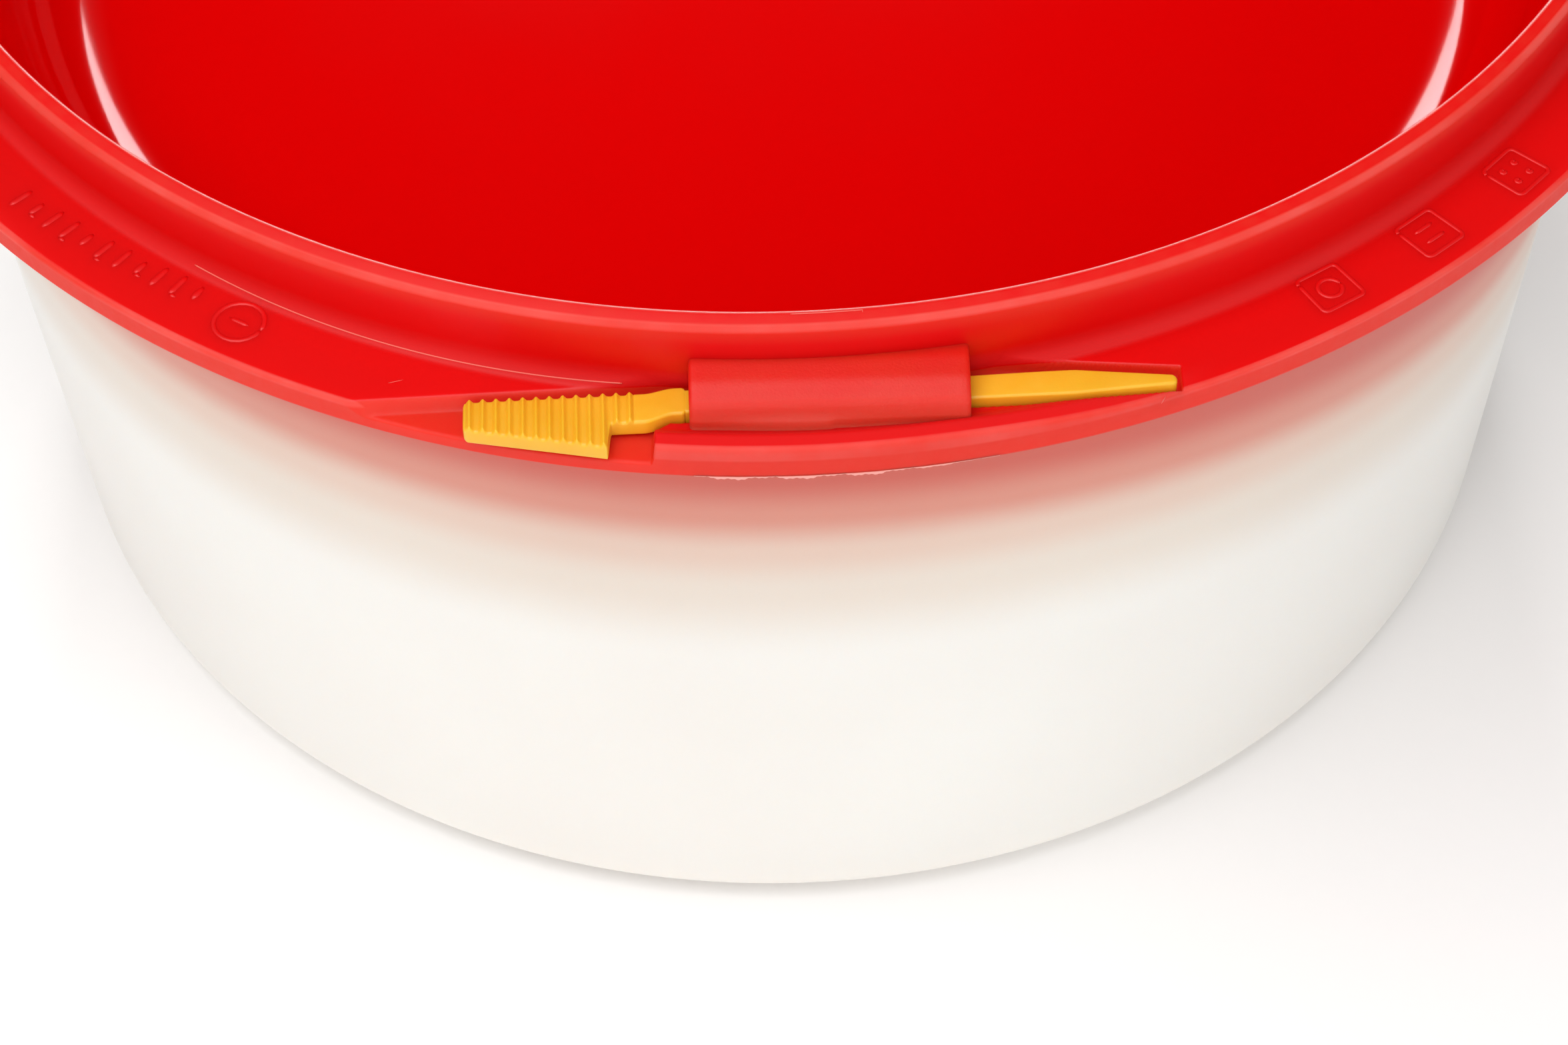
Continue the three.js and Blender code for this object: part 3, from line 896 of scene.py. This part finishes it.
def gate_mark():
    """The outline of the gate where the plastic entered, on top of the rim."""
    corners = [(0.8, 103.75), (8.3, 103.75), (8.3, 104.55), (0.8, 104.55), (0.8, 103.75)]
    path = [(x, -math.sqrt(r * r - x * x)) for x, r in divided(np.array(corners), 0.5)]
    return ridge(path, 0.10, 0.05, rim_surface)


def flash():
    """A ragged film of plastic along the lower edge of the skirt, in front of the sleeve."""
    rings = []
    for x in np.linspace(-9.2, 22.0, 380):
        ragged = 0.45 + 0.28 * math.sin(0.9 * x) + 0.17 * math.sin(2.7 * x + 1.0) + 0.10 * math.sin(9.0 * x)
        fade = max(min(1.0, (x + 9.2) / 1.5, (22.0 - x) / 12.0), 0.05)
        reach = FLANGE_R + 0.22 * ragged * fade
        drop = 0.30 * ragged * fade
        ring = [(FLANGE_R - 0.3, 0.10), (reach, 0.02 - drop), (reach, -0.03 - drop), (FLANGE_R - 0.3, 0.0)]
        rings.append([[x, -math.sqrt(r * r - x * x), z] for r, z in ring])
    return outward(*skin(np.array(rings)))


def scratches():
    """A few hair-fine scratches with raised edges, on the rim by the gate and on the skirt's shoulder."""
    rim = [
        ((1.2, -104.1), (5.0, -103.95)), ((3.0, -104.35), (7.8, -104.1)),
        ((-14.0, -103.0), (-12.8, -103.3)), ((-31.0, -99.1), (-29.8, -99.7)),
    ]
    for start, end in rim:
        yield ridge([start, end], 0.06, 0.02, rim_surface)
    flange = [
        ((34.0, -109.2), (35.2, -108.4)), ((38.6, -108.9), (39.1, -107.95)),
        ((-40.5, -103.4), (-39.0, -103.0)),
    ]
    for start, end in flange:
        yield ridge([start, end], 0.06, 0.02)


def make_details():
    red = relief_material("relief_red", RED)
    film = relief_material("film_red", RED_FILM)
    scratched = relief_material("scratched_red", RED_SCRATCH)
    details = {
        "marks_left": (list(marks_left()), red), "marks_right": (list(marks_right()), red),
        "parting_line": ([parting_line()], scratched), "gate_mark": ([gate_mark()], scratched),
        "mould_flash": ([flash()], film), "scratches": (list(scratches()), scratched),
    }
    for name, (parts, material) in details.items():
        points, faces = joined(parts)
        place(mesh_piece(name, points + np.array([0, 0, LID_Z]), faces, material), "lid", "lid_plastic")


# ---- The pin ----

def section_ring(back, front, bottom, top, radius, step=15.0):
    """A rounded rectangle across the pin, as (y, z) points, always the same number of them."""
    radius = min(radius, (back - front) / 2.2, (top - bottom) / 2.2)
    return rounded([
        (back, bottom, radius), (back, top, radius), (front, top, radius), (front, bottom, radius),
    ], closed=True, step=step)


def stepped(x, *stops):
    """A smooth curve through (x, value) stops."""
    places = [place for place, _ in stops]
    values = [value for _, value in stops]
    index = int(np.clip(np.searchsorted(places, x) - 1, 0, len(places) - 2))
    along = smooth_step((x - places[index]) / (places[index + 1] - places[index]))
    return values[index] + (values[index + 1] - values[index]) * float(along)


def pin_edges(x):
    """Back edge, front edge and corner radius of the pin at x, in the pin's own frame."""
    end_round = 0.55
    if x < NOTCH_X + 2.0:
        slant = (x - GRIP_LEFT) / (GRIP_RIGHT - GRIP_LEFT)
        grip_front = GRIP_FRONT_LEFT + (GRIP_FRONT_RIGHT - GRIP_FRONT_LEFT) * min(slant, 1.0)
        neck = stepped(x, (NOTCH_X - 1.2, NECK_FRONT), (NOTCH_X + 2.0, SHOULDER_FRONT))
        step = float(smooth_step((x - GRIP_RIGHT + 0.25) / 0.5))
        front = grip_front + (neck - grip_front) * step
        back = stepped(x, (NOTCH_X - 1.2, GRIP_BACK), (NOTCH_X + 2.0, SHOULDER_BACK))
        left = max(0.0, 1 - (x - GRIP_LEFT) / end_round)
        inset = end_round * (1 - math.sqrt(max(0.0, 1 - left * left)))
        return back - inset, front + inset, 0.35
    if x < SHOULDER_FACE:
        right = max(0.0, 1 - (SHOULDER_FACE - x) / 0.45)
        inset = 0.45 * (1 - math.sqrt(max(0.0, 1 - right * right)))
        return SHOULDER_BACK - inset, SHOULDER_FRONT + inset, 0.35
    taper = float(np.clip((x - 30.0) / (TIP_RIGHT - 30.0), 0, 1))
    flare = 0.24 * float(smooth_step((x - 12.0) / 16.0)) * (1 - taper)
    back = BLADE_BACK + flare + (0.7 - BLADE_BACK) * taper
    front = BLADE_FRONT + 0.1 * flare + (-0.5 - BLADE_FRONT) * taper
    tip = max(0.0, 1 - (TIP_RIGHT - x) / 0.6)
    inset = 0.5 * (1 - math.sqrt(max(0.0, 1 - tip * tip)))
    return back - inset, front + inset, 0.3


def rib_height(x):
    """Height of the thumb grip's ribs over its top: thin crests with hollow valleys between them."""
    last = RIB_FIRST + (RIB_COUNT - 1) * RIB_PITCH
    if x < RIB_FIRST - 0.5 or x > last + 0.5:
        return 0.0
    crest = abs(math.cos(math.pi * (x - RIB_FIRST) / RIB_PITCH)) ** 5
    return RIB_HEIGHT * crest - 0.08 * (1 - crest)


def pin_stations():
    grip = np.arange(GRIP_LEFT + 0.02, SHOULDER_FACE + 0.01, 0.085)
    shoulder = SHOULDER_FACE - 0.45 * (1 - np.sin(np.linspace(0, math.pi / 2, 6)))
    blade = np.arange(SHOULDER_FACE + 0.01, TIP_RIGHT - 0.6, 0.6)
    tip = TIP_RIGHT - 0.6 * (1 - np.sin(np.linspace(0, math.pi / 2, 7)))
    return np.concatenate([grip[grip < SHOULDER_FACE - 0.5], shoulder, blade, tip])


def pin_frame(points):
    """Points from the pin's own frame to their place on the lid."""
    cos, sin = math.cos(PIN_TILT), math.sin(PIN_TILT)
    x, y, z = points.T
    return np.column_stack([x * cos - y * sin, x * sin + y * cos + PIN_MIDDLE, z + LID_Z])


def make_pin(material):
    rings = []
    for x in pin_stations():
        back, front, radius = pin_edges(x)
        end = min(1.0, (x - GRIP_LEFT) / 0.4, (TIP_RIGHT - x) / 0.5)
        end = max(end, 0.0)
        low = PIN_BOTTOM + 0.35 * (1 - math.sqrt(1 - (1 - end) ** 2))
        top = PIN_TOP - 0.35 * (1 - math.sqrt(1 - (1 - end) ** 2))
        ring = section_ring(back, front, low, top, radius)
        high = smooth_step((ring[:, 1] - PIN_TOP + 0.5) / 0.4)
        ring[:, 1] += high * rib_height(x)
        rings.append(np.column_stack([np.full(len(ring), x), ring]))
    points, faces = outward(*skin(np.array(rings)))
    return mesh_piece("pin_moulding", pin_frame(points), faces, material)


# ---- The tub ----

def tub_profile():
    """The tub's outline from the middle of its base, up the outside, over the rim and down the inside."""
    bead = TUB_TOP - BEAD_DEPTH
    path = rounded([
        (0, 1.2, 0), (88.0, 1.2, 0.5), (89.2, 0.0, 0.7), (93.5, 0.0, 2.2), (WALL_FOOT_R, WALL_FOOT_Z, 3.0),
        (WALL_TOP_R, bead - 1.0, 1.0), (105.0, bead, 0.5), (109.6, bead, 0.7), (109.6, TUB_TOP, 0.9),
        (102.4, TUB_TOP, 0.9), (102.4, bead - 1.0, 2.0), (96.5, 5.0, 3.5), (91.5, 3.2, 2.0), (0, 3.2, 0),
    ])
    return divided(path, 8.0)


def make_tub(material):
    grid = wheel(tub_profile(), np.radians(np.arange(0, 360, 1.5)))
    points, faces = turned_shell(grid, on_axis=True)
    return mesh_piece("tub_shell", points, faces, material)


EAR_POINTS = 96
EAR_EDGE = 0.8
EAR_ROOT = 103.5
SOCKET_DEPTH = 8.0


def ear_outline():
    """Closed outline (y, z) of an ear, starting at the point furthest toward +Y."""
    half, top, foot = 8.0, PIVOT_Z + 9.0, PIVOT_Z - 8.0
    outline = rounded([
        (half, top, 0.8), (half, PIVOT_Z, 0), (half, foot, 7.9), (-half, foot, 7.9), (-half, top, 0.8),
    ], closed=True)
    outline = even_loop(divided(outline, 0.6, closed=True), EAR_POINTS)
    return np.roll(outline, -np.argmax(outline[:, 0]), axis=0)


def ear_shell(side):
    """A boss under the rim with a countersunk blind socket for the wire's end."""
    outline = ear_outline()
    centre = np.array([0.0, PIVOT_Z])
    angle = np.arctan2(outline[:, 1] - PIVOT_Z, outline[:, 0])
    hole = np.column_stack([np.cos(angle), np.sin(angle)])
    away = outline - centre
    away /= np.linalg.norm(away, axis=1)[:, None]
    loops = [(EAR_ROOT, outline), (EAR_FACE - EAR_EDGE, outline)]
    for turn in np.linspace(0, math.pi / 2, 6)[1:]:
        inset = EAR_EDGE * (1 - math.cos(turn))
        loops.append((EAR_FACE - EAR_EDGE + EAR_EDGE * math.sin(turn), outline - away * inset))
    bore = WIRE_R + 0.3
    socket = [(4.4, EAR_FACE), (3.2, EAR_FACE), (2.9, EAR_FACE - 0.15), (bore, EAR_FACE - 0.9),
              (bore, EAR_FACE - SOCKET_DEPTH), (0.05, EAR_FACE - SOCKET_DEPTH)]
    loops += [(x, hole * radius + centre) for radius, x in socket]
    rings = np.array([np.column_stack([np.full(EAR_POINTS, x), loop]) for x, loop in loops])
    rings[..., 0] *= side
    return outward(*skin(rings))


def make_ears(material):
    points, faces = joined([ear_shell(1), ear_shell(-1)])
    return mesh_piece("tub_ears", points, faces, material)


# ---- The seal, the wire and the grip ----

def make_seal(material):
    low, high = SEAL_LOW[2], SEAL_HIGH[2]
    outer = SEAL_HIGH[0]
    inner = outer - 4.0
    corners = [(inner, low, 0.4), (outer, low, 0.4), (outer, high, 0.4), (inner, high, 0.4)]
    profile = rounded(corners, closed=True, step=22.5)
    grid = wheel(profile, np.radians(np.arange(0, 360, 2)))
    points, faces = outward(*turned_shell(grid, on_axis=False))
    return mesh_piece("seal_ring", points, faces, material)


def bail_plane(points):
    """Points from the bail's own plane (across, along, out) to their place at rest."""
    cos, sin = math.cos(-BAIL_REST), math.sin(-BAIL_REST)
    x, y, z = points.T
    return np.column_stack([x, y * cos - z * sin, y * sin + z * cos + PIVOT_Z])


def wire_path():
    """The wire's middle line from one socket round the bow to the other."""
    bend = 4.0
    shank = GRIP_LENGTH / 2 + 3
    turns = np.linspace(-math.pi / 2, 0, 9)
    foot = np.linspace(EAR_FACE - 7.0, BAIL_HALF - bend, 4)[:-1]
    start = np.column_stack([foot, np.zeros(3)])
    corner = np.column_stack([BAIL_HALF - bend + bend * np.cos(turns), bend + bend * np.sin(turns)])
    sweep = np.linspace(0, math.pi / 2, 40)
    rise = BAIL_REACH - bend - 1
    bow = np.column_stack([shank + (BAIL_HALF - shank) * np.cos(sweep), bend + 1 + rise * np.sin(sweep)])
    half = np.concatenate([start, corner, bow])
    return np.concatenate([half, half[::-1] * [-1, 1]])


def make_wire(material):
    path = wire_path()
    along = np.gradient(path, axis=0)
    along /= np.linalg.norm(along, axis=1)[:, None]
    across = np.column_stack([-along[:, 1], along[:, 0]])
    angles = np.linspace(0, 2 * math.pi, 20, endpoint=False)
    rings = []
    for index, (middle, side) in enumerate(zip(path, across)):
        radius = WIRE_R * (0.8 if index in (0, len(path) - 1) else 1.0)
        flat = middle + np.cos(angles)[:, None] * side * radius
        rings.append(np.column_stack([flat, np.sin(angles) * radius]))
    points, faces = outward(*skin(np.array(rings)))
    return mesh_piece("wire_bow", bail_plane(points), faces, material)


GRIP_BORE = 2.6


def grip_profile():
    """Half-closed outline (radius, along) of the grip: bore, rounded ends and finger ribs."""
    half = GRIP_LENGTH / 2
    body = GRIP_R - 0.9
    ribs = 14
    pitch = (GRIP_LENGTH - 12.0) / ribs
    wave = np.linspace(-half + 6.0, half - 6.0, ribs * 12 + 1)
    crest = 0.5 - 0.5 * np.cos((wave + half - 6.0) / pitch * 2 * math.pi)
    ridges = np.column_stack([body + 0.75 * crest ** 0.7, wave])
    ends = rounded([
        (GRIP_BORE, -half, 0.0), (GRIP_R, -half, 1.2), (GRIP_R, -half + 5.4, 0.4), (body, -half + 5.8, 0.0),
    ])
    mirrored = ends[::-1] * [1, -1]
    return np.concatenate([ends, ridges[1:-1], mirrored])


def make_grip(material):
    profile = grip_profile()
    angles = np.radians(np.arange(0, 360, 7.5))
    grid = np.zeros((len(angles), len(profile), 3))
    grid[..., 0] = profile[:, 1]
    grid[..., 1] = np.cos(angles)[:, None] * profile[:, 0]
    grid[..., 2] = np.sin(angles)[:, None] * profile[:, 0]
    points, faces = outward(*turned_shell(grid, on_axis=False))
    return mesh_piece("grip_tube", points + GRIP_CENTRE, faces, material)


# ---- The stage ----

def make_floor():
    m = Nodes("studio_floor")
    m.set(Base_Color=(0.93, 0.925, 0.92, 1.0), Roughness=0.55)
    size = 3000.0
    corners = [(-size, -size, 0), (size, -size, 0), (size, size, 0), (-size, size, 0)]
    floor = mesh_piece("studio_floor", corners, [[0, 1, 2, 3]], m.material)
    floor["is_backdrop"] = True


def make_light(name, place, target, size, power, color=(1.0, 1.0, 1.0)):
    data = bpy.data.lights.new(name, "AREA")
    data.shape = "RECTANGLE"
    data.size, data.size_y = size
    data.energy = power
    data.color = color
    lamp = bpy.data.objects.new(name, data)
    bpy.context.scene.collection.objects.link(lamp)
    lamp.location = place
    lamp.rotation_euler = (Vector(target) - Vector(place)).to_track_quat("-Z", "Y").to_euler()


WORLD_STRENGTH = 0.30


def make_world():
    """An even pale surround that lights the scene but doesn't show in reflections."""
    world = bpy.data.worlds.new("studio")
    world.use_nodes = True
    background = world.node_tree.nodes["Background"]
    background.inputs["Color"].default_value = (1.0, 1.0, 1.0, 1.0)
    background.inputs["Strength"].default_value = WORLD_STRENGTH
    bpy.context.scene.world = world
    world.cycles_visibility.glossy = False
    world.cycles_visibility.transmission = False


CAMERA_LENS = 84.18
CAMERA_DOWN, CAMERA_ROLL = math.radians(49.44), math.radians(-1.46)
CAMERA_PLACE = (-0.00017, -0.36028, 0.37938)


def make_camera():
    """A long lens looking down at the front of the lid from about 0.4 m away."""
    data = bpy.data.cameras.new("camera")
    data.lens = CAMERA_LENS
    data.sensor_width = 36.0
    data.clip_start = 0.01
    camera = bpy.data.objects.new("camera", data)
    bpy.context.scene.collection.objects.link(camera)
    down, roll = CAMERA_DOWN, CAMERA_ROLL
    back = Vector((0, -math.cos(down), math.sin(down)))
    level = Vector((1, 0, 0))
    above = Vector((0, math.sin(down), math.cos(down)))
    right = level * math.cos(roll) + above * math.sin(roll)
    up = above * math.cos(roll) - level * math.sin(roll)
    turn = Matrix((right, up, back)).transposed().to_4x4()
    camera.matrix_world = Matrix.Translation(CAMERA_PLACE) @ turn
    bpy.context.scene.camera = camera


# ---- The whole ----

def place(piece, body, slot, *nodes):
    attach(piece, body)
    if nodes:
        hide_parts(*nodes)


lid_red = lid_material()
place(make_lid(lid_red), "lid", "lid_plastic", "lid")
sleeve_red = sleeve_material()
place(make_sleeve(sleeve_red), "lid", "lid_plastic")
make_details()
place(make_pin(yellow_material("pin_yellow", 0.010)), "pin", "pin_plastic", "slide_pin")
# The tub carries the painted red-tinted shade in full, the ears at 0.35 of it.
place(make_tub(tub_material("tub_milky", 1.0)), "tub", "tub_plastic", "bucket_body")
place(make_ears(tub_material("ear_milky", 0.35)), "tub", "tub_plastic")
place(make_seal(seal_material()), "lid", "seal", "lid_gasket")
place(make_wire(wire_material()), "bail", "wire", "wire_bail")
place(make_grip(yellow_material("grip_yellow", 0.02)), "grip", "grip_plastic", "handle_grip")

make_floor()
make_world()
make_light("overhead", (-0.26, -0.30, 1.10), (0, -0.05, 0.09), (1.0, 0.8), 8.8)
make_light("back_strip", (-0.02, 1.15, 0.71), (0, 0, 0.09), (0.36, 0.34), 4.5)
make_light("front_fill", (-0.15, -1.05, 0.75), (0, -0.1, 0.05), (1.2, 0.6), 3.8)
make_light("front_low", (-0.25, -1.15, 0.28), (0, -0.1, 0.09), (1.4, 0.3), 2.6)
make_light("right_fill", (1.10, -0.50, 0.80), (0.1, -0.1, 0.0), (0.8, 0.6), 3.2)
make_camera()
bpy.context.scene.view_settings.view_transform = "Standard"

boxes = [[list(corner) for corner in box] for box in (CAD_BOX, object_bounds())]
